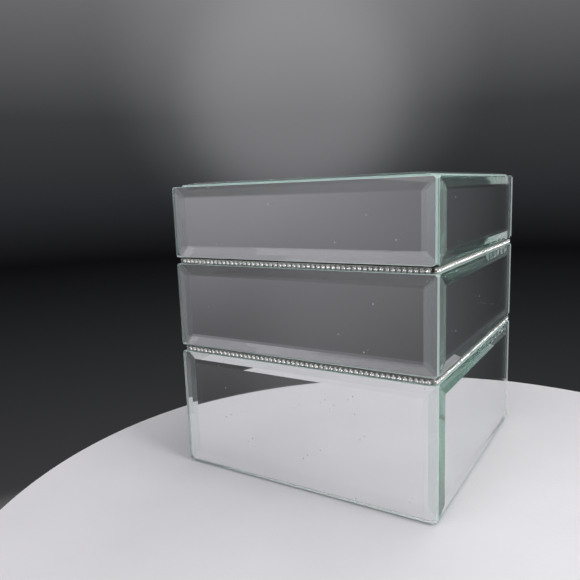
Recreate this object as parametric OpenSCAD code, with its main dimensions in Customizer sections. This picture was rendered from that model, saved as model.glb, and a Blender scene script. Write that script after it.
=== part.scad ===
// Mirrored trinket box in three tiers. The tray swings out on a corner post,
// and the deep lid lifts on two butt hinges at the rear. Millimetres, +Z up.
// The origin is the centre of the underside. The front faces -Y.

/* [Case] */
// Outside width and depth of the square case, over the mirrors
side_w = 150; // [140:1:170]
// Height of the base tier's mirrors
base_h = 66.4; // [55:0.1:80]
// Height of the tray tier's mirrors
tray_h = 46.5; // [44:0.1:60]
// Height of the lid tier's mirrors
lid_h = 38.4; // [30:0.1:50]
// Clear height between one tier's mirrors and the next
seam_h = 3.6; // [3.6:0.1:4]
// Thickness of the felt under the base
felt_t = 1; // [0.5:0.1:2]

/* [Mirror glass] */
// Thickness of the mirror glass
glass_t = 4; // [4:0.5:5]
// Width of the bevel along each edge
bevel_w = 6; // [3:0.5:9]
// Glass ground away at the edge by the bevel
bevel_drop = 1.2; // [0.6:0.1:1.6]
// Height of the top mirror's face above the upper panels
crest_h = 2; // [1.5:0.1:2.5]
// How far the base and tray front panels stop short of the right-hand corner
front_reveal = 0.9; // [0:0.1:2]
// How far the lid's front panel stops short of it
lid_front_reveal = 1.9; // [0:0.1:2.5]
// How far the rear panels stop short of the rear corner on the box's right
rear_reveal = 1.1; // [0:0.1:2]

/* [Carcass] */
// Thickness of the board walls
wall_t = 6; // [5:0.5:8]
// Thickness of the base floor
floor_t = 6; // [4:0.5:8]
// Thickness of the tray floor and of the lid board
board_t = 4; // [4:0.5:5]
// Thickness of the velvet on the inside walls
lining_t = 1; // [0.6:0.1:1.5]
// Thickness of the padded floor cushions
pad_t = 3; // [2:0.5:5]
// Thickness of the mirror inside the lid
inner_glass_t = 3; // [2:0.5:4]

/* [Crystal strip] */
// Diameter of one stone in its cup
stone_d = 2.4; // [1.8:0.1:2.5]
// Distance from stone to stone
stone_pitch = 2.73; // [2.6:0.01:3.2]
// How far a stone stands out from its chain
stone_proud = 1.5; // [1:0.1:1.8]
// Thickness of the metal chain and its packing behind the stones
band_t = 1.2; // [0.2:0.1:1.3]

/* [Pivot] */
// Radius of the steel corner post
post_r = 3; // [2.5:0.5:3]
// Side of the square corner blocks
block_w = 18; // [18:1:22]
// Radius from the post to the stop pin
stop_orbit = 7.5; // [7.5:0.1:7.8]
// How far the tray swings out
swing_deg = 90; // [45:5:90]

/* [Hinges] */
// Length of one hinge
hinge_len = 30; // [20:1:36]
// Distance of each hinge from the middle of the box
hinge_x = 42; // [36:1:46]
// Outside radius of the hinge knuckles
knuckle_r = 1.6; // [1.4:0.05:1.6]
// Radius of the hinge pin
hinge_pin_r = 0.8; // [0.6:0.1:0.8]
// Thickness of a hinge leaf
leaf_t = 1.2; // [0.8:0.1:1.2]

/* [Hidden] */

// Plan: half widths, measured from the middle of the box
half_w = side_w / 2;
carcass_r = half_w - glass_t;
cavity_r = carcass_r - wall_t;
glass_gap = 0.1;
side_glass_w = 2 * (carcass_r - glass_gap);
nose_t = glass_t - bevel_drop;

// Heights: each tier's mirrors run from z0 to z1, and its rim stands above z1
rim_h = seam_h - 0.7;
lift = 0.5;
base_z0 = felt_t;
base_z1 = base_z0 + base_h;
base_rim = base_z1 + rim_h;
tray_z0 = base_z1 + seam_h;
tray_z1 = tray_z0 + tray_h;
tray_rim = tray_z1 + rim_h;
lid_z0 = tray_z1 + seam_h;
lid_z1 = lid_z0 + lid_h;
tray_bottom = base_rim + lift;
lid_bottom = tray_rim + lift;
top_glass_z = lid_z1 + crest_h - glass_t;
lining_drop = 0.5;

// Turning angle of each side, where the front is drawn first
FRONT = 0;
RIGHT = 90;
REAR = 180;
LEFT = 270;
CORNERS = [[1, 1], [1, -1], [-1, 1], [-1, -1]];

// Pivot at the rear left corner
fit_gap = 0.05;
pivot_x = -cavity_r + block_w / 2;
pivot_y = cavity_r - block_w / 2;
post_foot = base_z0 + floor_t + 8;
tray_block_h = 33;
block_top = tray_bottom + board_t + tray_block_h;
bush_r = post_r + 1.5;
flange_t = 1;
washer_t = 1;
washer_z = block_top + flange_t + fit_gap;
nut_z = washer_z + washer_t;
nut_w = 10;
nut_h = 4.5;
dome_r = 4.4;
stop_pin_r = 1;
stop_pin_rise = 2.3;
slot_depth = 2.8;
slot_r = stop_pin_r + 0.2;
glide_r = 2.5;
glide_t = lift - fit_gap;
round_fn = 48;
small_fn = 24;

// Hinges: the axis lies in the seam, just inside the rear mirrors' edges
axis_y = half_w - bevel_drop - 1.4;
axis_z = tray_z1 + seam_h / 2;
leaf_y = axis_y - 6.4;
leaf_edge_y = axis_y - knuckle_r - 0.25;
knuckle_count = 5;
knuckle_w = hinge_len / knuckle_count;
screw_y = (leaf_y + leaf_edge_y) / 2;
screw_x = 8;
screw_r = 1.1;
screw_head_r = 1.9;
screw_head_h = 1;
screw_len = 9;

module at_side(side) rotate([0, 0, side]) children();

// ---- Board carcass ----

module wall_solid(side, z0, z1) {
    run = (side == FRONT || side == REAR) ? carcass_r : cavity_r;
    at_side(side)
        translate([-run, -carcass_r, z0])
            cube([2 * run, wall_t, z1 - z0]);
}

module board(half, z0, thickness)
    translate([-half, -half, z0])
        cube([2 * half, 2 * half, thickness]);

module pivot_bore(r, z0, z1)
    translate([pivot_x, pivot_y, z0])
        cylinder(h = z1 - z0, r = r, $fn = round_fn);

// Plan of a tier's inside, less its corner block, drawn in by inset
module cavity_outline(inset)
    difference() {
        square(2 * (cavity_r - inset), center = true);
        translate([-cavity_r, cavity_r - block_w - inset])
            square([block_w + inset, block_w]);
    }

module corner_block(z0, z1)
    translate([-cavity_r, cavity_r - block_w, z0])
        cube([block_w, block_w, z1 - z0]);

// ---- Mirror glass ----

// Section across a bevelled plate of width l, standing on its silvered back
module plate_section(l)
    polygon([
        [-l / 2, 0],
        [l / 2, 0],
        [l / 2, nose_t],
        [l / 2 - bevel_w, glass_t],
        [-l / 2 + bevel_w, glass_t],
        [-l / 2, nose_t]
    ]);

module bevelled_plate(l, h)
    intersection() {
        rotate([90, 0, 0])
            linear_extrude(h, center = true)
                plate_section(l);
        rotate([90, 0, 90])
            linear_extrude(l, center = true)
                plate_section(h);
    }

// reveal is cut from the panel's right-hand end, as seen from outside, and left_reveal from its other end
module side_mirror(side, z0, h, reveal = 0, left_reveal = 0) {
    l = (side == FRONT || side == REAR) ? side_w : side_glass_w;
    at_side(side)
        translate([(left_reveal - reveal) / 2, -carcass_r, z0 + h / 2])
            rotate([90, 0, 0])
                bevelled_plate(l - reveal - left_reveal, h);
}

// ---- Velvet ----

module wall_velvet(z0, z1)
    translate([0, 0, z0])
        linear_extrude(z1 - z0)
            difference() {
                cavity_outline(0);
                cavity_outline(lining_t);
            }

module floor_cushion(z0)
    translate([0, 0, z0])
        linear_extrude(pad_t)
            cavity_outline(lining_t + 0.2);

// ---- Crystal strips ----

function in_hinge(x) = abs(abs(x) - hinge_x) < hinge_len / 2 + stone_d / 2 + 0.3;

// One side's row, centred. A row behind the hinges leaves their places free.
module stone_row(count, z, clear_hinges = false)
    for (i = [0 : count - 1]) {
        x = (i - (count - 1) / 2) * stone_pitch;
        if (!(clear_hinges && in_hinge(x)))
            translate([x, -carcass_r - band_t, z])
                rotate([90, 0, 0])
                    cylinder(h = stone_proud, d = stone_d, $fn = small_fn);
    }

long_count = floor((2 * carcass_r - stone_d) / stone_pitch) + 1;

module stones(z1, clear_hinges = false) {
    z = z1 + rim_h / 2;
    at_side(FRONT) stone_row(long_count, z);
    at_side(REAR) stone_row(long_count, z, clear_hinges);
    at_side(LEFT) stone_row(long_count + 1, z);
    at_side(RIGHT) stone_row(long_count + 1, z);
}

module chain_band(z1)
    translate([0, 0, z1 + 0.1])
        linear_extrude(rim_h - 0.2)
            difference() {
                square(2 * (carcass_r + band_t), center = true);
                square(2 * carcass_r, center = true);
            }

// ---- Small hardware ----

module ring(r_in, r_out, z0, height)
    translate([pivot_x, pivot_y, z0])
        difference() {
            cylinder(h = height, r = r_out, $fn = round_fn);
            translate([0, 0, -1])
                cylinder(h = height + 2, r = r_in, $fn = round_fn);
        }

module rim_discs(z0)
    for (c = CORNERS)
        translate([c[0] * (carcass_r - wall_t / 2), c[1] * (carcass_r - wall_t / 2), z0])
            cylinder(h = glide_t, r = glide_r, $fn = small_fn);

module stop_pin_solid(z0, z1)
    translate([pivot_x, pivot_y, 0])
        rotate([0, 0, -45])
            translate([stop_orbit, 0, z0])
                cylinder(h = z1 - z0, r = stop_pin_r, $fn = small_fn);

// Blind curved slot in the tray's underside, in which the stop pin travels
module stop_slot()
    translate([pivot_x, pivot_y, tray_bottom - 1]) {
        rotate([0, 0, -45])
            rotate_extrude(angle = swing_deg, $fn = round_fn)
                translate([stop_orbit - slot_r, 0])
                    square([2 * slot_r, slot_depth + 1]);
        for (a = [-45, swing_deg - 45])
            rotate([0, 0, a])
                translate([stop_orbit, 0, 0])
                    cylinder(h = slot_depth + 1, r = slot_r, $fn = small_fn);
    }

// ---- Butt hinges ----

module at_hinges()
    for (s = [-1, 1])
        translate([s * hinge_x, 0, 0])
            children();

// Room for the fixed leaves, cut down into the tray's rear rim
module leaf_mortise()
    at_hinges()
        translate([-hinge_len / 2 - 0.2, cavity_r - 1, axis_z - knuckle_r])
            cube([hinge_len + 0.4, wall_t + 2, knuckle_r + seam_h]);

module screw_places()
    at_hinges()
        for (s = [-1, 1])
            translate([s * screw_x, screw_y, 0])
                children();

// One countersunk screw, head down at z 0 and point up
module screw() {
    cylinder(h = screw_head_h, r1 = screw_head_r, r2 = screw_r, $fn = small_fn);
    cylinder(h = screw_len, r = screw_r, $fn = small_fn);
}

// Screws into the tray point down from the fixed leaves' upper faces
module tray_screws()
    screw_places()
        translate([0, 0, axis_z - knuckle_r + leaf_t])
            mirror([0, 0, 1])
                screw();

module lid_screws()
    screw_places()
        translate([0, 0, axis_z + knuckle_r - leaf_t])
            screw();

module along_axis(x0, x1, r)
    translate([x0, axis_y, axis_z])
        rotate([0, 90, 0])
            cylinder(h = x1 - x0, r = r, $fn = small_fn);

// One leaf with its knuckles. first is 0 for the fixed leaf and 1 for the moving one.
module leaf(first, z0, bore_r)
    difference() {
        union() {
            translate([-hinge_len / 2, leaf_y, z0])
                cube([hinge_len, leaf_edge_y - leaf_y, leaf_t]);
            for (i = [first : 2 : knuckle_count - 1]) {
                x0 = -hinge_len / 2 + i * knuckle_w + 0.1;
                translate([x0, leaf_edge_y - 0.5, z0])
                    cube([knuckle_w - 0.2, axis_y - leaf_edge_y + 0.5, leaf_t]);
                along_axis(x0, x0 + knuckle_w - 0.2, knuckle_r);
            }
        }
        along_axis(-hinge_len, hinge_len, bore_r);
    }

// ---- Base tier ----

module base_front_wall() color("burlywood") wall_solid(FRONT, base_z0, base_rim);
module base_rear_wall() color("burlywood") wall_solid(REAR, base_z0, base_rim);
module base_left_wall() color("tan") wall_solid(LEFT, base_z0, base_rim);
module base_right_wall() color("tan") wall_solid(RIGHT, base_z0, base_rim);
module base_floor() color("wheat") board(cavity_r, base_z0, floor_t);
module base_front_mirror()
    color("lightsteelblue") side_mirror(FRONT, base_z0, base_h, front_reveal);

module base_rear_mirror()
    color("lightsteelblue") side_mirror(REAR, base_z0, base_h, left_reveal = rear_reveal);
module base_left_mirror() color("silver") side_mirror(LEFT, base_z0, base_h);
module base_right_mirror() color("silver") side_mirror(RIGHT, base_z0, base_h);
module base_lining() color("dimgray") wall_velvet(base_z0 + floor_t, base_rim - lining_drop);
module base_pad() color("gray") floor_cushion(base_z0 + floor_t);
module base_felt() color("black") board(carcass_r, 0, felt_t);
module base_crystal_band() color("gainsboro") chain_band(base_z1);
module base_crystals() color("white") stones(base_z1);
module rim_glides() color("ivory") rim_discs(base_rim);

module base_corner_block()
    color("peru")
        difference() {
            corner_block(base_z0 + floor_t, base_rim);
            pivot_bore(post_r, post_foot, base_rim + 1);
            stop_pin_solid(base_rim - 8, base_rim + 1);
        }

module pivot_post() color("silver") pivot_bore(post_r, post_foot, nut_z + nut_h);
module thrust_washer() color("ivory") ring(post_r + fit_gap, bush_r + 1, base_rim, glide_t);
module top_washer() color("ivory") ring(post_r + fit_gap, bush_r + 1.5, washer_z, washer_t);

module cap_nut()
    color("silver")
        difference() {
            translate([pivot_x, pivot_y, nut_z]) {
                cylinder(h = nut_h, d = nut_w / cos(30), $fn = 6);
                intersection() {
                    translate([0, 0, nut_h])
                        sphere(r = dome_r, $fn = round_fn);
                    translate([0, 0, nut_h - 1])
                        cylinder(h = dome_r + 2, r = dome_r + 1, $fn = round_fn);
                }
            }
            pivot_bore(post_r, nut_z - 1, nut_z + nut_h);
        }

module stop_pin() color("silver") stop_pin_solid(base_rim - 8, base_rim + stop_pin_rise);

// ---- Tray tier ----

module tray_front_wall() color("burlywood") wall_solid(FRONT, tray_bottom, tray_rim);
module tray_left_wall() color("tan") wall_solid(LEFT, tray_bottom, tray_rim);
module tray_right_wall() color("tan") wall_solid(RIGHT, tray_bottom, tray_rim);

module tray_rear_wall()
    color("burlywood")
        difference() {
            wall_solid(REAR, tray_bottom, tray_rim);
            leaf_mortise();
            tray_screws();
        }

module tray_floor()
    color("wheat")
        difference() {
            board(cavity_r, tray_bottom, board_t);
            pivot_bore(bush_r, tray_bottom - 1, tray_bottom + board_t + 1);
            stop_slot();
        }

module tray_front_mirror()
    color("lightsteelblue") side_mirror(FRONT, tray_z0, tray_h, front_reveal);

module tray_rear_mirror()
    color("lightsteelblue") side_mirror(REAR, tray_z0, tray_h, left_reveal = rear_reveal);
module tray_left_mirror() color("silver") side_mirror(LEFT, tray_z0, tray_h);
module tray_right_mirror() color("silver") side_mirror(RIGHT, tray_z0, tray_h);
module tray_lining() color("dimgray") wall_velvet(tray_bottom + board_t, tray_rim - lining_drop);
module tray_pad() color("gray") floor_cushion(tray_bottom + board_t);

module tray_corner_block()
    color("peru")
        difference() {
            corner_block(tray_bottom + board_t, block_top);
            pivot_bore(bush_r, tray_bottom, block_top + 1);
        }

module pivot_bush()
    color("goldenrod") {
        ring(post_r + fit_gap, bush_r, tray_bottom, block_top - tray_bottom);
        ring(post_r + fit_gap, bush_r + 2, block_top, flange_t);
    }

module tray_crystal_band()
    color("gainsboro")
        difference() {
            chain_band(tray_z1);
            translate([0, wall_t, 0])
                leaf_mortise();
        }

module tray_crystals() color("white") stones(tray_z1, clear_hinges = true);

module hinge_tray_leaves()
    color("goldenrod")
        difference() {
            at_hinges() leaf(0, axis_z - knuckle_r, hinge_pin_r);
            tray_screws();
        }

module hinge_tray_screws() color("gold") tray_screws();

module hinge_pins()
    color("silver")
        at_hinges()
            along_axis(-hinge_len / 2, hinge_len / 2, hinge_pin_r);

// ---- Lid tier ----

module lid_front_wall() color("burlywood") wall_solid(FRONT, lid_bottom, top_glass_z);
module lid_left_wall() color("tan") wall_solid(LEFT, lid_bottom, top_glass_z);
module lid_right_wall() color("tan") wall_solid(RIGHT, lid_bottom, top_glass_z);

module lid_rear_wall()
    color("burlywood")
        difference() {
            wall_solid(REAR, lid_bottom, top_glass_z);
            lid_screws();
        }

module lid_board() color("wheat") board(cavity_r, top_glass_z - board_t, board_t);
module lid_front_mirror()
    color("lightsteelblue") side_mirror(FRONT, lid_z0, lid_h, lid_front_reveal);

module lid_rear_mirror()
    color("lightsteelblue") side_mirror(REAR, lid_z0, lid_h, left_reveal = rear_reveal);
module lid_left_mirror() color("silver") side_mirror(LEFT, lid_z0, lid_h);
module lid_right_mirror() color("silver") side_mirror(RIGHT, lid_z0, lid_h);

module lid_top_mirror()
    color("lightcyan")
        translate([0, 0, top_glass_z])
            bevelled_plate(side_glass_w, side_glass_w);

module lid_inner_mirror()
    color("lightcyan")
        board(cavity_r - lining_t - 0.5, top_glass_z - board_t - inner_glass_t, inner_glass_t);

module lid_lining()
    color("dimgray")
        translate([0, 0, lid_bottom + lining_drop])
            linear_extrude(top_glass_z - board_t - lid_bottom - lining_drop)
                difference() {
                    square(2 * cavity_r, center = true);
                    square(2 * (cavity_r - lining_t), center = true);
                }

module lid_bumpers() color("ivory") rim_discs(tray_rim + fit_gap);

module hinge_lid_leaves()
    color("goldenrod")
        difference() {
            at_hinges() leaf(1, axis_z + knuckle_r - leaf_t, hinge_pin_r + fit_gap);
            lid_screws();
        }

module hinge_lid_screws() color("gold") lid_screws();

// ---- Assembly ----

base_front_wall();
base_rear_wall();
base_left_wall();
base_right_wall();
base_floor();
base_front_mirror();
base_rear_mirror();
base_left_mirror();
base_right_mirror();
base_lining();
base_pad();
base_felt();
base_corner_block();
base_crystal_band();
base_crystals();
rim_glides();
pivot_post();
thrust_washer();
top_washer();
cap_nut();
stop_pin();
tray_front_wall();
tray_rear_wall();
tray_left_wall();
tray_right_wall();
tray_floor();
tray_front_mirror();
tray_rear_mirror();
tray_left_mirror();
tray_right_mirror();
tray_lining();
tray_pad();
tray_corner_block();
pivot_bush();
tray_crystal_band();
tray_crystals();
hinge_tray_leaves();
hinge_tray_screws();
hinge_pins();
lid_front_wall();
lid_rear_wall();
lid_left_wall();
lid_right_wall();
lid_board();
lid_front_mirror();
lid_rear_mirror();
lid_left_mirror();
lid_right_mirror();
lid_top_mirror();
lid_inner_mirror();
lid_lining();
lid_bumpers();
hinge_lid_leaves();
hinge_lid_screws();
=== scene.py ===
"""Looks of the mirrored trinket box: bevelled mirror glass, crystal strips, velvet and metal fittings.

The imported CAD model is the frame. Places and sizes come from it, in metres.
"""

import math
import random

import bmesh
import bpy
from mathutils import Matrix, Vector, noise


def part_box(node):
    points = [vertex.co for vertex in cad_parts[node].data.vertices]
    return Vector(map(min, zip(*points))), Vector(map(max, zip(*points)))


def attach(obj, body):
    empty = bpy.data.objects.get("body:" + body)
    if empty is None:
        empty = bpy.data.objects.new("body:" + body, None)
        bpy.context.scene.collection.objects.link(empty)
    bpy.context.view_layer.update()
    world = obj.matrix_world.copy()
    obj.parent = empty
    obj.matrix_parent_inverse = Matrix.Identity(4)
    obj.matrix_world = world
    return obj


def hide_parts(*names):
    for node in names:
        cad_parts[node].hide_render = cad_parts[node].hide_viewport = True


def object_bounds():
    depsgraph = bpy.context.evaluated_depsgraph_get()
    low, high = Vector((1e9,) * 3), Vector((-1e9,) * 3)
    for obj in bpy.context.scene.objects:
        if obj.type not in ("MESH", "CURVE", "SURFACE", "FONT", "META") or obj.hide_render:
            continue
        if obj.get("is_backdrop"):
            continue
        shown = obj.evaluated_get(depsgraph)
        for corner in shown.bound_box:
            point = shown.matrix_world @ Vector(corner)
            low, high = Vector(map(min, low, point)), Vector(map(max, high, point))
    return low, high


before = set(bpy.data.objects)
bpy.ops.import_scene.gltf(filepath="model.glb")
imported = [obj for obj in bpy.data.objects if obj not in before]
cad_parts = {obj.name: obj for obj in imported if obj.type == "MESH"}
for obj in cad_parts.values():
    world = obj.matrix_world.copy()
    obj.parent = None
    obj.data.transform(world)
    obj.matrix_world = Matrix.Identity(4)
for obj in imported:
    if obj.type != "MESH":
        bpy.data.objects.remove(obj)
CAD_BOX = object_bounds()

MM = 0.001
TIERS = ("base", "tray", "lid")
SIDES = ("front", "rear", "left", "right")
# Turns about +Z, in degrees, that take a row from the front to each side
SIDE_TURNS = (0, 180, -90, 90)
# Slack when two places are compared
TINY = 1e-6

# Camera: place in metres, angles in degrees, lens and sensor in millimetres
CAMERA_PLACE = (0.1527, -0.3177, 0.1553)
CAMERA_AZIMUTH = 32.19
CAMERA_PITCH = -9.57
CAMERA_ROLL = 2.16
CAMERA_LENS = 36.48
CAMERA_SENSOR = 36

# Round table that the box stands on
TABLE_CENTRE = (0.070, -0.066)
TABLE_RADIUS = 0.219
TABLE_THICKNESS = 0.018
TABLE_ROUNDING = 1.5 * MM

# Area lights: name, place, aim, size, watts
LIGHTS = (
    ("overhead", (0.15, 0.05, 0.95), (0.05, -0.05, 0), (0.8, 0.6), 2.4),
    ("front_softbox", (-0.24, -0.97, 0.89), (0, -0.05, 0.06), (1.1, 0.7), 4.0),
    ("right_softbox", (0.95, -0.15, 0.65), (0.1, -0.05, 0.05), (0.5, 0.5), 6.8),
)
# Light runs along inside the mirror glass and between the stones, so it needs many bounces
LIGHT_BOUNCES = 40
# Soft patches of light on the surroundings: azimuth, elevation, radius in degrees, colour
GLOWS = (
    (-140, 30, 60, (0.245, 0.24, 0.255)),
    (-140, 10, 25, (0.065, 0.063, 0.068)),
    (-160, -18, 20, (0.055, 0.055, 0.057)),
    (-31, 9, 13, (0.08, 0.08, 0.084)),
    (-31, 12, 19, (0.07, 0.07, 0.074)),
    (38, -6, 32, (0.11, 0.115, 0.12)),
    (8, 44, 28, (0.9, 0.9, 0.9)),
    (66, 4, 30, (1.0, 1.0, 1.0)),
)
# Surroundings by height, from straight down to straight up
HORIZON = (
    (0.0, (0.85, 0.85, 0.85)),
    (0.2, (0.75, 0.75, 0.75)),
    (0.29, (0.04, 0.04, 0.043)),
    (0.38, (0.019, 0.02, 0.022)),
    (0.45, (0.004, 0.004, 0.005)),
    (0.50, (0.024, 0.025, 0.028)),
    (0.56, (0.044, 0.045, 0.047)),
    (0.65, (0.15, 0.15, 0.155)),
    (1.0, (0.2, 0.2, 0.21)),
)

# Mirror glass
GLASS_T = 4 * MM
BEVEL_W = 6 * MM
BEVEL_DROP = 1.2 * MM
INNER_GLASS_T = 3 * MM
SEAMED_EDGE = 0.4 * MM
CORNER_CLIP = 1.0 * MM
ARRIS = 0.18 * MM
BACK_GAP = 0.05 * MM
GLASS_IOR = 1.52
GLASS_TINT = (0.60, 0.94, 0.84)
GLASS_DENSITY = 10.0
# How ground the bevels are, where 0 is polished and 1 is a ground edge
LONG_BEVEL_HAZE = 0.03
END_BEVEL_HAZE = 0.25
# Share of the light that passes a ground edge
EDGE_CLARITY = 0.45
# Dust: cells to the metre, and the reach of a speck as a share of its cell
DUST_PER_METRE = 120
DUST_SIZE = 0.06
# Least cosine between w and the normal of a flat face, then of a bevel, and the largest at an upright edge
FLAT_COS = 0.995
BEVEL_COS = 0.9
UPRIGHT_COS = 0.1

# Crystal strip. Its heights start at the front of the chain's back strip.
STONE_PITCH = 2.73 * MM
STONE_PROUD = 1.5 * MM
STONE_FACETS = 8
STONE_R = 1.08 * MM
STONE_TABLE_R = 0.56 * STONE_R
CROWN_R = 0.82 * STONE_R
CROWN_H = 1.36 * MM
GIRDLE_H = 1.12 * MM
CULET_H = 0.35 * MM
# Largest lean of a stone in its cup, in degrees
STONE_LEAN = 2.5
# Room that a row of stones leaves at its two ends together
ROW_END_CLEAR = 2.4 * MM
CUP_R = 1.33 * MM
CUP_WALL = 0.2 * MM
CUP_SEGMENTS = 20
BAND_T = 1.2 * MM
BAR_EASE = 0.08 * MM
RAIL_HALF = 0.14 * MM
RAIL_PROUD = 0.25 * MM
HINGE_LENGTH = 30 * MM
HINGE_CLEAR = 1.5 * MM

# Velvet and felt
CLOTH_STEP = 4.0 * MM
LINING_T = 1.0 * MM
LINING_GAP = 0.03 * MM
HEM_STEPS = 6
# Corner radius of the lining on the wall, its growth with the inset, and the radius round the corner block
LINING_CORNER_R = 0.3 * MM
CORNER_GROWTH = 1.3
BLOCK_CORNER_R = 0.4 * MM
# Place of the corner block's free corner in a notched plan
BLOCK_CORNER = 4
# The lining's soft swells: their height and size, and how far its face stands off besides
SWELL = 0.16 * MM
SWELL_SIZE = 14 * MM
STAND_OFF = 0.04 * MM
PAD_GAP = 0.2 * MM
PAD_CROWN = 1.6 * MM
# Height of a pad's cover before it is filled, as a share of the pad
COVER_SHARE = 0.75
# Rows of the pad's grid beside the corner block
BLOCK_ROWS = 4
GLUE_HEIGHT = 0.1 * MM
FILL_FRAMES = 20
FELT_CORNER_R = 1.2 * MM
FELT_SIDE_PARTS = 48
FRAY = 0.06 * MM
FRAY_SIZE = 0.9 * MM

# Fittings: how far their edges are eased, and the relief of the tool marks on metal
BOARD_EASE = 0.25 * MM
STEEL_EASE = 0.12 * MM
SMALL_EASE = 0.1 * MM
TOOL_MARKS = 0.00002


# ---- Node helpers ----


def new_material(name):
    """A node material, with its tree and its Principled shader."""
    material = bpy.data.materials.new(name)
    material.use_nodes = True
    tree = material.node_tree
    return material, tree, tree.nodes["Principled BSDF"]


def add_node(tree, kind, **settings):
    """A node of that kind. A setting that names an input gives its value, and any other is an attribute."""
    node = tree.nodes.new(kind)
    for key, value in settings.items():
        if key in node.inputs:
            node.inputs[key].default_value = value
        else:
            setattr(node, key, value)
    return node


def join(tree, source, target):
    tree.links.new(source, target)


def set_inputs(shader, **values):
    """Constant values on the shader's own sockets. An underscore stands for a space."""
    for key, value in values.items():
        shader.inputs[key.replace("_", " ")].default_value = value


def object_coords(tree, scale=(1, 1, 1)):
    """Object coordinates, stretched by scale."""
    source = add_node(tree, "ShaderNodeTexCoord").outputs["Object"]
    if tuple(scale) == (1, 1, 1):
        return source
    mapping = add_node(tree, "ShaderNodeMapping")
    mapping.inputs["Scale"].default_value = scale
    join(tree, source, mapping.inputs["Vector"])
    return mapping.outputs["Vector"]


def noise_field(tree, scale, detail=4.0, roughness=0.55, stretch=(1, 1, 1)):
    """A noise in object space, with scale in waves to the metre."""
    node = add_node(tree, "ShaderNodeTexNoise", Scale=scale, Detail=detail, Roughness=roughness)
    join(tree, object_coords(tree, stretch), node.inputs["Vector"])
    return node.outputs["Fac"]


def ramp(tree, factor, stops):
    """A colour ramp. stops are (position, colour) pairs."""
    node = add_node(tree, "ShaderNodeValToRGB")
    elements = node.color_ramp.elements
    for index, (position, colour) in enumerate(stops):
        element = elements[index] if index < 2 else elements.new(position)
        element.position = position
        element.color = (*colour, 1)
    join(tree, factor, node.inputs["Fac"])
    return node.outputs["Color"]


def spread(tree, factor, low, high):
    """factor, from 0 to 1, remapped to run from low to high."""
    node = add_node(tree, "ShaderNodeMapRange")
    node.inputs["To Min"].default_value = low
    node.inputs["To Max"].default_value = high
    join(tree, factor, node.inputs["Value"])
    return node.outputs["Result"]


def bump(tree, height, distance, strength=1.0):
    """A normal from a height between 0 and 1. distance is its relief in metres."""
    node = add_node(tree, "ShaderNodeBump", Strength=strength, Distance=distance)
    join(tree, height, node.inputs["Height"])
    return node.outputs["Normal"]


def math_node(tree, operation, first, second):
    """A Math node on a socket and a socket or a number."""
    node = add_node(tree, "ShaderNodeMath", operation=operation)
    join(tree, first, node.inputs[0])
    if isinstance(second, (int, float)):
        node.inputs[1].default_value = second
    else:
        join(tree, second, node.inputs[1])
    return node.outputs[0]


def blend(tree, share, first, second, kind):
    """A mix of two values or colours. kind is FLOAT or RGBA."""
    node = add_node(tree, "ShaderNodeMix", data_type=kind)
    sockets = [socket for socket in node.inputs if socket.enabled]
    for source, socket in zip((share, first, second), sockets):
        join(tree, source, socket)
    return next(socket for socket in node.outputs if socket.enabled)


def mottle(colour, share):
    """Two stops either side of a colour, for a ramp on a noise."""
    low = tuple(c * (1 - share) for c in colour)
    high = tuple(min(1.0, c * (1 + share)) for c in colour)
    return [(0.35, low), (0.65, high)]


# ---- Materials ----


def absorb(tree):
    """The faint green of float glass, which deepens with the length of the light's way through it."""
    volume = add_node(tree, "ShaderNodeVolumeAbsorption", Density=GLASS_DENSITY)
    volume.inputs["Color"].default_value = (*GLASS_TINT, 1)
    join(tree, volume.outputs["Volume"], tree.nodes["Material Output"].inputs["Volume"])


def dust_specks(tree):
    """Sparse specks of dust, where a point of a Voronoi texture comes near the surface."""
    cells = add_node(tree, "ShaderNodeTexVoronoi", Scale=DUST_PER_METRE)
    join(tree, object_coords(tree), cells.inputs["Vector"])
    node = add_node(tree, "ShaderNodeMapRange")
    node.inputs["From Min"].default_value = DUST_SIZE
    node.inputs["From Max"].default_value = DUST_SIZE / 2
    join(tree, cells.outputs["Distance"], node.inputs["Value"])
    return node.outputs["Result"]


def glass_material():
    """Float glass. The faces' grind attribute is 0 on the polished face, up to 1 on the ground edges."""
    material, tree, shader = new_material("mirror_glass")
    set_inputs(shader, IOR=GLASS_IOR)
    ground_share = add_node(tree, "ShaderNodeAttribute", attribute_name="grind").outputs["Fac"]
    grind = math_node(tree, "MAXIMUM", ground_share, dust_specks(tree))
    join(tree, spread(tree, grind, 1.0, EDGE_CLARITY), shader.inputs["Transmission Weight"])
    # Faint wiping marks. Where polished falls below zero, the face is perfectly smooth.
    wipes = noise_field(tree, 45, detail=3, stretch=(1, 1, 2.5))
    polished = spread(tree, wipes, -0.012, 0.016)
    ground = spread(tree, noise_field(tree, 900, detail=2), 0.12, 0.3)
    depth = math_node(tree, "POWER", grind, 2)
    join(tree, blend(tree, depth, polished, ground, "FLOAT"), shader.inputs["Roughness"])
    clear_tones = [(0.3, (0.87, 0.85, 0.87)), (0.7, (0.89, 0.87, 0.89))]
    clear = ramp(tree, noise_field(tree, 30, detail=2), clear_tones)
    milky_tones = [(0.3, (0.71, 0.88, 0.85)), (0.7, (0.86, 0.99, 0.96))]
    milky = ramp(tree, noise_field(tree, 700, detail=2), milky_tones)
    join(tree, blend(tree, grind, clear, milky, "RGBA"), shader.inputs["Base Color"])
    absorb(tree)
    return material


def silver_material():
    """Silver layer on the back of the glass."""
    material, tree, shader = new_material("mirror_silver")
    set_inputs(shader, Metallic=1, Roughness=0)
    tone = ramp(tree, noise_field(tree, 18, detail=2), mottle((0.972, 0.972, 0.968), 0.006))
    join(tree, tone, shader.inputs["Base Color"])
    return material


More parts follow.
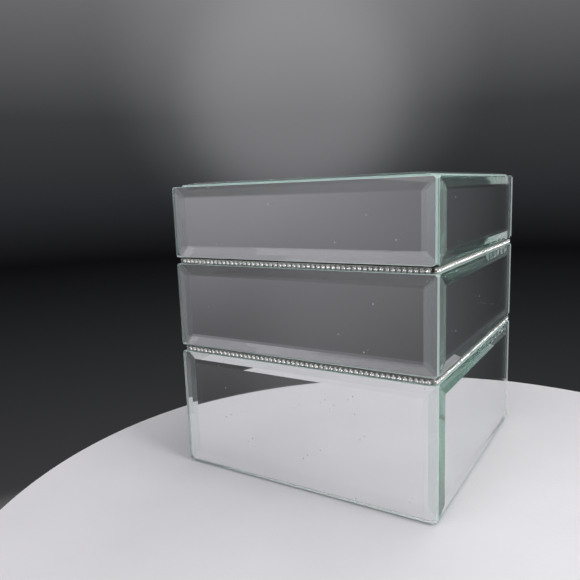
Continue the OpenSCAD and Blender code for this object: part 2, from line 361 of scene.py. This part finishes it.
def crystal_material():
    """Cut crystal, nearly clear."""
    material, tree, shader = new_material("crystal")
    set_inputs(shader, Transmission_Weight=1, IOR=1.57)
    tone = ramp(tree, noise_field(tree, 400, detail=1), [(0.3, (0.94, 0.95, 0.96)), (0.7, (1, 1, 1))])
    join(tree, tone, shader.inputs["Base Color"])
    join(tree, spread(tree, noise_field(tree, 800), 0.0, 0.03), shader.inputs["Roughness"])
    return material


def foil_material():
    """Mirror foil under each stone."""
    material, tree, shader = new_material("stone_foil")
    set_inputs(shader, Metallic=1)
    tone = ramp(tree, noise_field(tree, 300, detail=2), mottle((0.96, 0.965, 0.96), 0.03))
    join(tree, tone, shader.inputs["Base Color"])
    join(tree, spread(tree, noise_field(tree, 1500), 0.04, 0.14), shader.inputs["Roughness"])
    return material


def metal_material(name, colour, rough, lines, depth=0.0):
    """A worked metal. lines stretches the noise across its tool marks, and depth is their relief."""
    material, tree, shader = new_material(name)
    set_inputs(shader, Metallic=1)
    marks = noise_field(tree, 60, detail=6, roughness=0.65, stretch=lines)
    tone = ramp(tree, noise_field(tree, 90, detail=3), mottle(colour, 0.06))
    join(tree, tone, shader.inputs["Base Color"])
    join(tree, spread(tree, marks, *rough), shader.inputs["Roughness"])
    if depth:
        join(tree, bump(tree, marks, depth), shader.inputs["Normal"])
    return material


def board_material():
    """Fibreboard painted satin charcoal: roller stipple over a faint fibre, a little uneven in gloss."""
    material, tree, shader = new_material("painted_board")
    stipple = noise_field(tree, 1300, detail=2)
    tone = ramp(tree, noise_field(tree, 35, detail=6), mottle((0.030, 0.030, 0.033), 0.3))
    join(tree, tone, shader.inputs["Base Color"])
    join(tree, spread(tree, noise_field(tree, 70), 0.38, 0.62), shader.inputs["Roughness"])
    join(tree, bump(tree, stipple, 0.00012, 0.6), shader.inputs["Normal"])
    return material


def velvet_material(name, colour, pile):
    """Short-pile velvet, with a soft sheen at the turns. Its colour has lighter and darker patches of
    painted sheen, standing in for pile brushed different ways.
    """
    material, tree, shader = new_material(name)
    set_inputs(shader, Sheen_Weight=0.55, Sheen_Roughness=0.35, Specular_IOR_Level=0.15)
    shader.inputs["Sheen Tint"].default_value = (0.75, 0.76, 0.82, 1)
    # Painted sheen: lighter and darker patches in the base colour stand in for the shine of pile brushed
    # different ways.
    painted_nap_sheen = noise_field(tree, 22, detail=3, roughness=0.6, stretch=(1, 1, 0.6))
    join(tree, ramp(tree, painted_nap_sheen, mottle(colour, 0.4)), shader.inputs["Base Color"])
    tufts = noise_field(tree, pile, detail=3, roughness=0.7)
    join(tree, spread(tree, tufts, 0.8, 1.0), shader.inputs["Roughness"])
    join(tree, bump(tree, tufts, 0.0005, 0.7), shader.inputs["Normal"])
    return material


def felt_material():
    """Pressed felt: matted fibres, a few of them paler."""
    material, tree, shader = new_material("felt")
    set_inputs(shader, Sheen_Weight=0.2, Sheen_Roughness=0.5, Specular_IOR_Level=0.1)
    fibres = noise_field(tree, 700, detail=8, roughness=0.75, stretch=(1, 2.5, 1))
    tone = ramp(tree, fibres, [(0.35, (0.012, 0.013, 0.014)), (0.72, (0.055, 0.058, 0.06))])
    join(tree, tone, shader.inputs["Base Color"])
    join(tree, spread(tree, fibres, 0.85, 1.0), shader.inputs["Roughness"])
    join(tree, bump(tree, fibres, 0.0006, 0.8), shader.inputs["Normal"])
    return material


def nylon_material():
    """Moulded nylon, faintly see-through and finely textured."""
    material, tree, shader = new_material("nylon")
    set_inputs(shader, Subsurface_Weight=0.15, Subsurface_Scale=0.001)
    tone = ramp(tree, noise_field(tree, 200), mottle((0.72, 0.70, 0.64), 0.06))
    join(tree, tone, shader.inputs["Base Color"])
    join(tree, spread(tree, noise_field(tree, 400), 0.35, 0.5), shader.inputs["Roughness"])
    join(tree, bump(tree, noise_field(tree, 1600), 0.0001, 0.4), shader.inputs["Normal"])
    return material


# ---- Pieces ----


def shell_volume(faces):
    """Signed volume inside a closed shell: positive when its faces point outwards."""
    total = 0.0
    for face in faces:
        first, *rest = [v.co for v in face.verts]
        total += sum(first.dot(a.cross(b)) for a, b in zip(rest, rest[1:]))
    return total / 6


def face_outwards(bm):
    """Turns the faces of every closed shell outwards."""
    bmesh.ops.recalc_face_normals(bm, faces=bm.faces)
    unseen = set(bm.faces)
    while unseen:
        shell = [unseen.pop()]
        for face in shell:
            for edge in face.edges:
                beyond = [other for other in edge.link_faces if other in unseen]
                unseen.difference_update(beyond)
                shell += beyond
        if shell_volume(shell) < 0:
            bmesh.ops.reverse_faces(bm, faces=shell)


def mesh_of(bm, name, materials, smooth=False):
    """Turns a bmesh into a mesh with its materials."""
    face_outwards(bm)
    mesh = bpy.data.meshes.new(name)
    bm.to_mesh(mesh)
    bm.free()
    for material in materials:
        mesh.materials.append(material)
    if smooth:
        mesh.shade_smooth()
    else:
        mesh.shade_flat()
    return mesh


def add_piece(mesh, body, slot, *nodes):
    """An object for a mesh. It rides on the body and stands for the CAD nodes."""
    piece = bpy.data.objects.new(mesh.name, mesh)
    bpy.context.collection.objects.link(piece)
    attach(piece, body)
    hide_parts(*nodes)
    return piece


# ---- Mirrors ----


def slab_bmesh(length, height, thick, bevel_w, drop):
    """A bevelled plate with its silvered back on w = 0: u along it, v up it, w outwards."""
    bm = bmesh.new()
    levels = ((0.0, BACK_GAP), (0.0, thick - drop), (bevel_w, thick))
    loops = []
    for inset, w in levels:
        u, v = length / 2 - inset, height / 2 - inset
        loops.append([bm.verts.new(p) for p in ((-u, -v, w), (u, -v, w), (u, v, w), (-u, v, w))])
    bm.faces.new(reversed(loops[0]))
    bm.faces.new(loops[2])
    for lower, upper in zip(loops, loops[1:]):
        for i in range(4):
            j = (i + 1) % 4
            bm.faces.new((lower[i], lower[j], upper[j], upper[i]))
    return bm


def clip_corners(bm, length, height):
    """Takes each corner of the plate off at 45 degrees, as the grinder does."""
    for su in (-1, 1):
        for sv in (-1, 1):
            point = (su * (length / 2 - CORNER_CLIP / 2), sv * (height / 2 - CORNER_CLIP / 2), 0)
            geometry = bm.verts[:] + bm.edges[:] + bm.faces[:]
            cut = bmesh.ops.bisect_plane(
                bm, geom=geometry, plane_co=point, plane_no=(su, sv, 0), clear_outer=True
            )
            rim = [e for e in cut["geom_cut"] if isinstance(e, bmesh.types.BMEdge)]
            bmesh.ops.contextual_create(bm, geom=rim)


def grind_arrises(bm):
    """Small flats on every edge where the plate's sides meet its faces."""
    bm.normal_update()
    sharp = [e for e in bm.edges if any(abs(f.normal.z) < UPRIGHT_COS for f in e.link_faces)]
    bmesh.ops.bevel(bm, geom=sharp, offset=ARRIS, segments=1, affect="EDGES")
    bm.normal_update()


def mirror_facing(node):
    """A mirror's thin axis, the sign of the way it faces, the middle of its back, and its size."""
    low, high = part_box(node)
    size = high - low
    axis = min(range(3), key=lambda i: size[i])
    middle = (low + high) / 2
    sign = 1 if middle[axis] > 0 else -1
    if node == "lid_inner_mirror":
        sign = -1  # it faces down, though it lies above the origin
    middle[axis] = low[axis] if sign > 0 else high[axis]
    return axis, sign, middle, size


def stand_up(axis, sign, middle):
    """Matrix that puts a plate in place: w outwards and v up, or along +Y on a lying plate."""
    w = Vector([sign if i == axis else 0 for i in range(3)])
    v = Vector((0, 1, 0)) if axis == 2 else Vector((0, 0, 1))
    turn = Matrix((v.cross(w), v, w)).transposed().to_4x4()
    return Matrix.Translation(middle) @ turn


def grind_of(normal):
    """How ground a face of the plate is. The end bevels come off a coarser wheel than the long ones."""
    if normal.z < BEVEL_COS:
        return 1.0
    if normal.z > FLAT_COS:
        return 0.0
    return END_BEVEL_HAZE if abs(normal.x) > abs(normal.y) else LONG_BEVEL_HAZE


def build_mirror(node, body, materials, thick=GLASS_T, bevel_w=BEVEL_W, drop=BEVEL_DROP):
    """One bevelled plate in the place of a CAD mirror: material 0 is the glass, 1 the silver behind it."""
    axis, sign, middle, size = mirror_facing(node)
    length, height = [size[i] for i in range(3) if i != axis]
    bm = slab_bmesh(length, height, thick, bevel_w, drop)
    clip_corners(bm, length, height)
    grind_arrises(bm)
    face_outwards(bm)
    bm.normal_update()
    grind = bm.faces.layers.float.new("grind")
    for face in bm.faces:
        face.material_index = 1 if face.normal.z < -BEVEL_COS else 0
        face[grind] = grind_of(face.normal)
    bm.transform(stand_up(axis, sign, middle))
    add_piece(mesh_of(bm, node + "_glass", materials), body, "mirror_glass", node)


def build_mirrors():
    materials = [glass_material(), silver_material()]
    for tier in TIERS:
        for side in SIDES:
            build_mirror(f"{tier}_{side}_mirror", tier, materials)
    build_mirror("lid_top_mirror", "lid", materials)
    build_mirror("lid_inner_mirror", "lid", materials, INNER_GLASS_T, SEAMED_EDGE, SEAMED_EDGE)


# ---- Crystal strips ----


def ring_points(radius, w, count, turn=0.0):
    """Points on a circle about the w axis. turn is in steps."""
    angles = [2 * math.pi * (i + turn) / count for i in range(count)]
    return [(radius * math.cos(a), radius * math.sin(a), w) for a in angles]


def bridge(bm, lower, upper):
    """Quads between two closed loops of the same length."""
    for i, vert in enumerate(lower):
        j = (i + 1) % len(lower)
        bm.faces.new((vert, lower[j], upper[j], upper[i]))


def stone_bmesh():
    """A cut stone with its table forward along w. Its pavilion has material 1, the foil."""
    bm = bmesh.new()
    facets = STONE_FACETS
    table = [bm.verts.new(p) for p in ring_points(STONE_TABLE_R, STONE_PROUD + BAND_T, facets)]
    crown = [bm.verts.new(p) for p in ring_points(CROWN_R, CROWN_H + BAND_T, facets, turn=0.5)]
    girdle = [bm.verts.new(p) for p in ring_points(STONE_R, GIRDLE_H + BAND_T, 2 * facets)]
    culet = bm.verts.new((0, 0, CULET_H + BAND_T))
    bm.faces.new(table)
    for i in range(facets):
        j = (i + 1) % facets
        bm.faces.new((table[i], crown[i], table[j]))
        bm.faces.new((table[i], crown[i - 1], girdle[2 * i], crown[i]))
        bm.faces.new((crown[i], girdle[2 * i], girdle[2 * i + 1]))
        bm.faces.new((crown[i], girdle[2 * i + 1], girdle[2 * j]))
    for i, point in enumerate(girdle):
        bm.faces.new((point, culet, girdle[(i + 1) % len(girdle)])).material_index = 1
    return bm


def add_prong(bm, angle):
    """A claw that leans in over the stone's edge."""
    turn = Matrix.Rotation(angle, 3, "Z")
    # In millimetres: insets of its outer and inner face from the cup's radius, half its width, its height
    sections = ((0.02, 0.26, 0.24, 0.95), (0.06, 0.34, 0.22, 1.28), (0.26, 0.52, 0.13, 1.46))
    loops = []
    for section in sections:
        outer_inset, inner_inset, half, w = [value * MM for value in section]
        outer, inner = CUP_R - outer_inset, CUP_R - inner_inset
        corners = ((outer, -half), (outer, half), (inner, half), (inner, -half))
        loops.append([bm.verts.new(turn @ Vector((x, y, w + BAND_T))) for x, y in corners])
    for lower, upper in zip(loops, loops[1:]):
        bridge(bm, lower, upper)
    bm.faces.new(loops[0])
    bm.faces.new(loops[-1])


def cup_bmesh():
    """A plated cup: a turned ring with a rolled lip and four claws."""
    bm = bmesh.new()
    inner = CUP_R - CUP_WALL
    # Radius and height, up the outside, over the lip and down the inside
    profile = (
        (CUP_R - 0.1 * MM, 0.02 * MM), (CUP_R, 0.15 * MM), (CUP_R, 0.95 * MM),
        (CUP_R - 0.07 * MM, 1.08 * MM), (inner - 0.03 * MM, 1.12 * MM),
        (inner - 0.03 * MM, 1.0 * MM), (inner - 0.3 * MM, 0.02 * MM),
    )
    loops = [[bm.verts.new(p) for p in ring_points(r, w + BAND_T, CUP_SEGMENTS)] for r, w in profile]
    for lower, upper in zip(loops, loops[1:] + loops[:1]):
        bridge(bm, lower, upper)
    for quarter in range(4):
        add_prong(bm, math.radians(45 + 90 * quarter))
    return bm


def stamp(target, source, matrix):
    """Adds a placed copy of one bmesh to another."""
    copies = {v: target.verts.new(matrix @ v.co) for v in source.verts}
    for face in source.faces:
        made = target.faces.new([copies[v] for v in face.verts])
        made.material_index = face.material_index


def hinge_spans():
    """Stretches of X that the hinges take up at the rear. They lie alike on either side of the middle."""
    low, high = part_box("hinge_pins")
    return ((low.x, low.x + HINGE_LENGTH), (high.x - HINGE_LENGTH, high.x))


def behind_hinge(x, margin):
    return any(low - margin < x < high + margin for low, high in hinge_spans())


def side_turns():
    """Each side's name, and the matrix that takes a row from the front to it."""
    return zip(SIDES, [Matrix.Rotation(math.radians(angle), 4, "Z") for angle in SIDE_TURNS])


def strip_places(tier):
    """Matrices for every stone of a tier: u along the row, v up, w outwards from the chain's back."""
    low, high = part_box(tier + "_crystals")
    back = -high.x + STONE_PROUD + BAND_T
    z = (low.z + high.z) / 2
    room = 2 * (high.x - STONE_PROUD - BAND_T) - ROW_END_CLEAR
    count = math.floor(room / STONE_PITCH) + 1
    face_out = Matrix(((1, 0, 0, 0), (0, 0, -1, back), (0, 1, 0, z), (0, 0, 0, 1)))
    places = []
    for side, turn in side_turns():
        row = count if side in ("front", "rear") else count + 1
        for i in range(row):
            x = (i - (row - 1) / 2) * STONE_PITCH
            if side == "rear" and tier == "tray" and behind_hinge(x, HINGE_CLEAR):
                continue
            places.append(turn @ Matrix.Translation((x, 0, 0)) @ face_out)
    return places


def band_runs(tier, reach):
    """Stretches of the chain's back strip along each side, as (turn, start, end)."""
    for side, turn in side_turns():
        stops = [-reach, reach]
        if side == "rear" and tier == "tray":
            for low, high in hinge_spans():
                stops += [low - HINGE_CLEAR, high + HINGE_CLEAR]
        stops.sort()
        for start, end in zip(stops[::2], stops[1::2]):
            yield turn, start, end


def add_bar(bm, matrix, start, end, half_height, z, near, far):
    """A flat strip from start to end along the row, with its long edges eased."""
    section = (
        (near, -half_height), (near, half_height),
        (far - BAR_EASE, half_height), (far, half_height - BAR_EASE),
        (far, BAR_EASE - half_height), (far - BAR_EASE, -half_height),
    )
    loops = [[bm.verts.new(matrix @ Vector((x, -w, z + v))) for w, v in section] for x in (start, end)]
    bridge(bm, *loops)
    for loop in loops:
        bm.faces.new(loop)


def build_strip(tier, stone_materials, cup_materials):
    """A tier's row of stones, and the cup chain that holds them, on all four sides."""
    stone, cup = stone_bmesh(), cup_bmesh()
    stones, cups = bmesh.new(), bmesh.new()
    rng = random.Random(tier)
    for place in strip_places(tier):
        tilt = Matrix.Rotation(math.radians(rng.uniform(0, 360 / STONE_FACETS)), 4, "Z")
        lean = Matrix.Rotation(math.radians(rng.uniform(-STONE_LEAN, STONE_LEAN)), 4, rng.choice("XY"))
        stamp(stones, stone, place @ lean @ tilt)
        stamp(cups, cup, place)
    low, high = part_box(tier + "_crystal_band")
    middle, half = (low.z + high.z) / 2, (high.z - low.z) / 2
    for turn, start, end in band_runs(tier, high.x - BAND_T):
        add_bar(cups, turn, start, end, half, middle, high.x - BAND_T, high.x)
        for edge in (-1, 1):
            rail = middle + edge * (half - RAIL_HALF)
            add_bar(cups, turn, start, end, RAIL_HALF, rail, high.x, high.x + RAIL_PROUD)
    stone.free()
    cup.free()
    stone_mesh = mesh_of(stones, tier + "_cut_stones", stone_materials)
    add_piece(stone_mesh, tier, "crystal", tier + "_crystals")
    chain_mesh = mesh_of(cups, tier + "_cup_chain", cup_materials)
    add_piece(chain_mesh, tier, "crystal_cups", tier + "_crystal_band")


def build_strips():
    stone_materials = [crystal_material(), foil_material()]
    cup_materials = [metal_material("cup_plating", (0.60, 0.58, 0.55), (0.08, 0.24), (1, 1, 1))]
    for tier in ("base", "tray"):
        build_strip(tier, stone_materials, cup_materials)


# ---- Velvet ----


def cavity_corners(inset, notch):
    """Plan of a tier's inside, anticlockwise. notch is the corner block's box, or None."""
    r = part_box("lid_lining")[1].x - inset
    if notch is None:
        return [(-r, -r), (r, -r), (r, r), (-r, r)]
    x, y = notch[1].x + inset, notch[0].y - inset
    return [(-r, -r), (r, -r), (r, r), (x, r), (x, y), (-r, y)]


def rounded_loop(corners, radii, counts, steps=5):
    """The outline's points, with each corner rounded and each straight stretch cut into counts parts."""
    total = len(corners)
    arcs = []
    for i, corner in enumerate(corners):
        here = Vector(corner)
        back = (Vector(corners[i - 1]) - here).normalized()
        ahead = (Vector(corners[(i + 1) % total]) - here).normalized()
        centre = here + (back + ahead) * radii[i]
        start, end = here + back * radii[i] - centre, here + ahead * radii[i] - centre
        for k in range(steps + 1):
            a = math.pi / 2 * k / steps
            arcs.append(centre + start * math.cos(a) + end * math.sin(a))
    points = []
    for i in range(total):
        arc = arcs[i * (steps + 1):(i + 1) * (steps + 1)]
        points += arc
        goal = arcs[((i + 1) % total) * (steps + 1)]
        points += [arc[-1].lerp(goal, k / counts[i]) for k in range(1, counts[i])]
    return points


def lining_profile(z0, z1):
    """Section of the lining as (inset, height) pairs: up the wall, over the hem and down the inside."""
    r = LINING_T / 2
    rise = z1 - z0 - 2 * r
    rows = max(2, round(rise / CLOTH_STEP))
    heights = [z0 + r + rise * k / rows for k in range(rows + 1)]
    angles = [math.pi * k / HEM_STEPS for k in range(1, HEM_STEPS)]
    hem = [(r - r * math.cos(a), r * math.sin(a)) for a in angles]
    section = [(0.0, heights[0]), (0.0, heights[-1])]
    section += [(t, heights[-1] + h) for t, h in hem]
    section += [(LINING_T, z) for z in reversed(heights)]
    section += [(t, heights[0] - h) for t, h in reversed(hem)]
    return section


def lining_bmesh(z0, z1, notch):
    """Velvet wrapped round the inside walls, slightly soft where it bridges the board."""
    bm = bmesh.new()
    plan = cavity_corners(0, notch)
    lengths = [(Vector(b) - Vector(a)).length for a, b in zip(plan, plan[1:] + plan[:1])]
    counts = [max(2, round(length / CLOTH_STEP)) for length in lengths]
    loops = []
    for inset, z in lining_profile(z0, z1):
        radii = [LINING_CORNER_R + CORNER_GROWTH * inset] * len(plan)
        if notch is not None:
            radii[BLOCK_CORNER] = BLOCK_CORNER_R
        loop = []
        for p in rounded_loop(cavity_corners(inset + LINING_GAP, notch), radii, counts):
            place = Vector((p.x, p.y, z))
            faces_in = inset > 0.9 * LINING_T
            if faces_in:
                soft = SWELL * noise.noise(place / SWELL_SIZE)
                place -= Vector((p.x, p.y, 0)).normalized() * (soft + STAND_OFF)
            loop.append(bm.verts.new(place))
        loops.append(loop)
    for lower, upper in zip(loops, loops[1:] + loops[:1]):
        bridge(bm, lower, upper)
    return bm


def build_lining(tier, material):
    low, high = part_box(tier + "_lining")
    notch = None if tier == "lid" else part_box(tier + "_corner_block")
    mesh = mesh_of(lining_bmesh(low.z, high.z, notch), tier + "_velvet_lining", [material], smooth=True)
    piece = add_piece(mesh, tier, "velvet_lining", tier + "_lining")


def pad_lines(low, high, stop, first):
    """Grid lines from low to high. One lies on stop, with first of them before it."""
    parts = round((high - low) / CLOTH_STEP)
    before = [low + (stop - low) * k / first for k in range(first)]
    after = [stop + (high - stop) * k / (parts - first) for k in range(parts - first + 1)]
    return before + after


def pad_bmesh(low, high, notch):
    """The cushion's cover before it is filled: a grid above and below, joined round the edge."""
    inset = LINING_T + PAD_GAP
    x0, y1 = notch[1].x + inset, notch[0].y - inset
    xs = pad_lines(low.x, high.x, x0, BLOCK_ROWS)
    ys = [-y for y in reversed(pad_lines(-high.y, -low.y, -y1, BLOCK_ROWS))]
    bm = bmesh.new()
    levels = [low.z + (high.z - low.z) * share for share in (0, 0.5, 1)]
    verts = {}

    def vert(i, j, k):
        if (i, j, k) not in verts:
            verts[i, j, k] = bm.verts.new((xs[i], ys[j], levels[k]))
        return verts[i, j, k]

    cells = {
        (i, j) for i in range(len(xs) - 1) for j in range(len(ys) - 1)
        if not (xs[i + 1] < x0 + TINY and ys[j] > y1 - TINY)
    }
    for i, j in cells:
        bm.faces.new((vert(i, j, 0), vert(i, j + 1, 0), vert(i + 1, j + 1, 0), vert(i + 1, j, 0)))
        bm.faces.new((vert(i, j, 2), vert(i + 1, j, 2), vert(i + 1, j + 1, 2), vert(i, j + 1, 2)))
        # The two ends of each edge of the cell, and the cell beyond it
        edges = (
            ((i, j), (i + 1, j), (i, j - 1)),
            ((i + 1, j), (i + 1, j + 1), (i + 1, j)),
            ((i + 1, j + 1), (i, j + 1), (i, j + 1)),
            ((i, j + 1), (i, j), (i - 1, j)),
        )
        for a, b, beyond in edges:
            if beyond not in cells:
                for k in (0, 1):
                    bm.faces.new((vert(*a, k), vert(*b, k), vert(*b, k + 1), vert(*a, k + 1)))
    return bm


def inflate(piece, floor):
    """Fills the cover by cloth simulation. Its underside is glued down, and its rise is capped."""
    mesh = piece.data
    rest = [v.co.copy() for v in mesh.vertices]
    glued = piece.vertex_groups.new(name="glued")
    glued.add([i for i, co in enumerate(rest) if co.z < floor + GLUE_HEIGHT], 1, "REPLACE")
    cloth = piece.modifiers.new("filling", "CLOTH")
    settings = cloth.settings
    settings.quality = 6
    settings.mass = 0.1
    settings.tension_stiffness = settings.compression_stiffness = 12
    settings.bending_stiffness = 0.3
    settings.vertex_group_mass = "glued"
    settings.use_pressure = True
    settings.uniform_pressure_force = 3
    settings.shrink_min = -0.03
    settings.effector_weights.gravity = 0
    scene = bpy.context.scene
    for step in range(1, FILL_FRAMES + 1):
        scene.frame_set(step)
    moved = piece.evaluated_get(bpy.context.evaluated_depsgraph_get()).data
    filled = [v.co.copy() for v in moved.vertices]
    piece.modifiers.remove(cloth)
    scene.frame_set(1)
    for vertex, start, end in zip(mesh.vertices, rest, filled):
        shift = end - start
        shift.x = max(-PAD_GAP, min(PAD_GAP, shift.x))
        shift.y = max(-PAD_GAP, min(PAD_GAP, shift.y))
        shift.z = max(floor - start.z, min(PAD_CROWN, shift.z))
        vertex.co = start + shift


def build_pad(tier, material):
    low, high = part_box(tier + "_pad")
    top = Vector((high.x, high.y, low.z + COVER_SHARE * (high.z - low.z)))
    cover = pad_bmesh(low, top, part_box(tier + "_corner_block"))
    mesh = mesh_of(cover, tier + "_velvet_pad", [material], smooth=True)
    piece = add_piece(mesh, tier, "velvet_pad", tier + "_pad")
    inflate(piece, low.z)
    smooth = piece.modifiers.new("smooth", "SUBSURF")
    smooth.levels = 2
    smooth.render_levels = 2


def build_velvet():
    lining = velvet_material("velvet_lining", (0.011, 0.011, 0.013), 900)
    pad = velvet_material("velvet_pad", (0.013, 0.013, 0.016), 800)
    for tier in TIERS:
        build_lining(tier, lining)
    for tier in ("base", "tray"):
        build_pad(tier, pad)


def build_felt():
    """Felt under the base, with a soft, slightly ragged cut edge."""
    low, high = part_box("base_felt")
    bm = bmesh.new()
    thick = high.z - low.z
    # Inset in millimetres and share of the thickness, from the underside up
    section = ((0.35, 0.0), (0.08, 0.12), (0.0, 0.5), (0.08, 0.85), (0.3, 0.97))
    loops = []
    for inset, share in section:
        r = high.x - inset * MM
        corners = [(-r, -r), (r, -r), (r, r), (-r, r)]
        loop = []
        for p in rounded_loop(corners, [FELT_CORNER_R] * 4, [FELT_SIDE_PARTS] * 4):
            fray = FRAY * noise.noise(Vector((p.x, p.y, share * MM)) / FRAY_SIZE)
            place = Vector((p.x, p.y, 0)) * (1 - (fray + FRAY) / r)
            loop.append(bm.verts.new((place.x, place.y, low.z + share * thick)))
        loops.append(loop)
    for lower, upper in zip(loops, loops[1:]):
        bridge(bm, lower, upper)
    bm.faces.new(loops[0])
    bm.faces.new(loops[-1])
    piece = add_piece(mesh_of(bm, "base_felt_sheet", [felt_material()]), "base", "felt", "base_felt")


# ---- Carcass and fittings, carried over from the CAD ----


def dress(node, material, edge):
    """Gives a CAD node its material, and eases its edges."""
    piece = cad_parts[node]
    piece.data.materials.clear()
    piece.data.materials.append(material)
    bevel = piece.modifiers.new("eased_edges", "BEVEL")
    bevel.width = edge
    bevel.segments = 2
    bevel.limit_method = "ANGLE"
    bevel.angle_limit = math.radians(50)


def dress_nodes():
    board = board_material()
    steel = metal_material("turned_steel", (0.60, 0.60, 0.61), (0.18, 0.34), (1, 1, 30), depth=TOOL_MARKS)
    brass = metal_material("satin_brass", (0.72, 0.53, 0.24), (0.24, 0.42), (1, 14, 14), depth=TOOL_MARKS)
    nylon = nylon_material()
    for tier in TIERS:
        for side in SIDES:
            dress(f"{tier}_{side}_wall", board, BOARD_EASE)
    for node in ("base_floor", "tray_floor", "lid_board", "base_corner_block", "tray_corner_block"):
        dress(node, board, BOARD_EASE)
    for node in ("pivot_post", "cap_nut", "stop_pin", "hinge_pins"):
        dress(node, steel, STEEL_EASE)
    for node in ("pivot_bush", "hinge_tray_leaves", "hinge_lid_leaves", "hinge_tray_screws",
                 "hinge_lid_screws"):
        dress(node, brass, SMALL_EASE)
    for node in ("rim_glides", "thrust_washer", "top_washer", "lid_bumpers"):
        dress(node, nylon, SMALL_EASE)


# ---- Studio ----


def build_camera():
    data = bpy.data.cameras.new("camera")
    data.lens = CAMERA_LENS
    data.sensor_width = CAMERA_SENSOR
    data.clip_start = 0.01
    camera = bpy.data.objects.new("camera", data)
    bpy.context.collection.objects.link(camera)
    turn = Matrix.Rotation(math.radians(CAMERA_AZIMUTH), 4, "Z")
    tilt = Matrix.Rotation(math.radians(90 + CAMERA_PITCH), 4, "X")
    roll = Matrix.Rotation(math.radians(-CAMERA_ROLL), 4, "Z")
    camera.matrix_world = Matrix.Translation(CAMERA_PLACE) @ turn @ tilt @ roll
    bpy.context.scene.camera = camera


def direction(azimuth, elevation):
    """Unit vector: azimuth in degrees from +Y towards +X, elevation above the horizon."""
    a, e = math.radians(azimuth), math.radians(elevation)
    return Vector((math.sin(a) * math.cos(e), math.cos(a) * math.cos(e), math.sin(e)))


def build_surroundings():
    """A dark, even surround that changes with height, with the soft glows added."""
    world = bpy.data.worlds.new("studio")
    bpy.context.scene.world = world
    world.use_nodes = True
    tree = world.node_tree
    way = add_node(tree, "ShaderNodeTexCoord").outputs["Generated"]
    parts = add_node(tree, "ShaderNodeSeparateXYZ")
    join(tree, way, parts.inputs["Vector"])
    height = add_node(tree, "ShaderNodeMapRange")
    height.inputs["From Min"].default_value = -1
    join(tree, parts.outputs["Z"], height.inputs["Value"])
    total = ramp(tree, height.outputs["Result"], HORIZON)
    for azimuth, elevation, radius, colour in GLOWS:
        near = add_node(tree, "ShaderNodeVectorMath", operation="DOT_PRODUCT")
        near.inputs[1].default_value = direction(azimuth, elevation)
        join(tree, way, near.inputs[0])
        share = add_node(tree, "ShaderNodeMapRange", interpolation_type="SMOOTHERSTEP")
        share.inputs["From Min"].default_value = math.cos(math.radians(radius))
        join(tree, near.outputs["Value"], share.inputs["Value"])
        lit = add_node(tree, "ShaderNodeVectorMath", operation="MULTIPLY_ADD")
        lit.inputs[1].default_value = colour
        join(tree, share.outputs["Result"], lit.inputs[0])
        join(tree, total, lit.inputs[2])
        total = lit.outputs["Vector"]
    join(tree, total, tree.nodes["Background"].inputs["Color"])


def area_light(name, place, aim, size, power):
    """A soft rectangular light at place, turned towards aim."""
    data = bpy.data.lights.new(name, "AREA")
    data.shape = "RECTANGLE"
    data.size, data.size_y = size
    data.energy = power
    light = bpy.data.objects.new(name, data)
    bpy.context.collection.objects.link(light)
    light.location = place
    light.rotation_mode = "QUATERNION"
    light.rotation_quaternion = (Vector(aim) - Vector(place)).to_track_quat("-Z", "Y")


def build_lights():
    for light in LIGHTS:
        area_light(*light)


def table_material():
    """Pale laminate with a faint mottle."""
    material, tree, shader = new_material("table_top")
    tones = [(0.3, (0.76, 0.745, 0.77)), (0.7, (0.80, 0.785, 0.81))]
    tone = ramp(tree, noise_field(tree, 14, detail=5), tones)
    join(tree, tone, shader.inputs["Base Color"])
    join(tree, spread(tree, noise_field(tree, 60), 0.4, 0.5), shader.inputs["Roughness"])
    join(tree, bump(tree, noise_field(tree, 500), 0.0001), shader.inputs["Normal"])
    return material


def build_table():
    bm = bmesh.new()
    bmesh.ops.create_cone(
        bm, cap_ends=True, segments=256, radius1=TABLE_RADIUS, radius2=TABLE_RADIUS, depth=TABLE_THICKNESS
    )
    rims = [e for e in bm.edges if abs(e.verts[0].co.z - e.verts[1].co.z) < TINY]
    bmesh.ops.bevel(bm, geom=rims, offset=TABLE_ROUNDING, segments=3, affect="EDGES")
    bmesh.ops.translate(bm, verts=bm.verts, vec=(*TABLE_CENTRE, -TABLE_THICKNESS / 2))
    table = bpy.data.objects.new("table", mesh_of(bm, "table", [table_material()]))
    bpy.context.collection.objects.link(table)
    table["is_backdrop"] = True


def write_size():
    boxes = {"cad": CAD_BOX, "visual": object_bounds()}
    {name: [list(corner) for corner in box] for name, box in boxes.items()}


def set_light():
    """The bounces of the light, and plain colours without a film curve."""
    scene = bpy.context.scene
    scene.cycles.max_bounces = LIGHT_BOUNCES
    scene.cycles.glossy_bounces = LIGHT_BOUNCES
    scene.cycles.transmission_bounces = LIGHT_BOUNCES
    scene.view_settings.view_transform = "Standard"


set_light()
build_camera()
build_surroundings()
build_lights()
build_table()
build_mirrors()
build_strips()
build_velvet()
build_felt()
dress_nodes()
write_size()
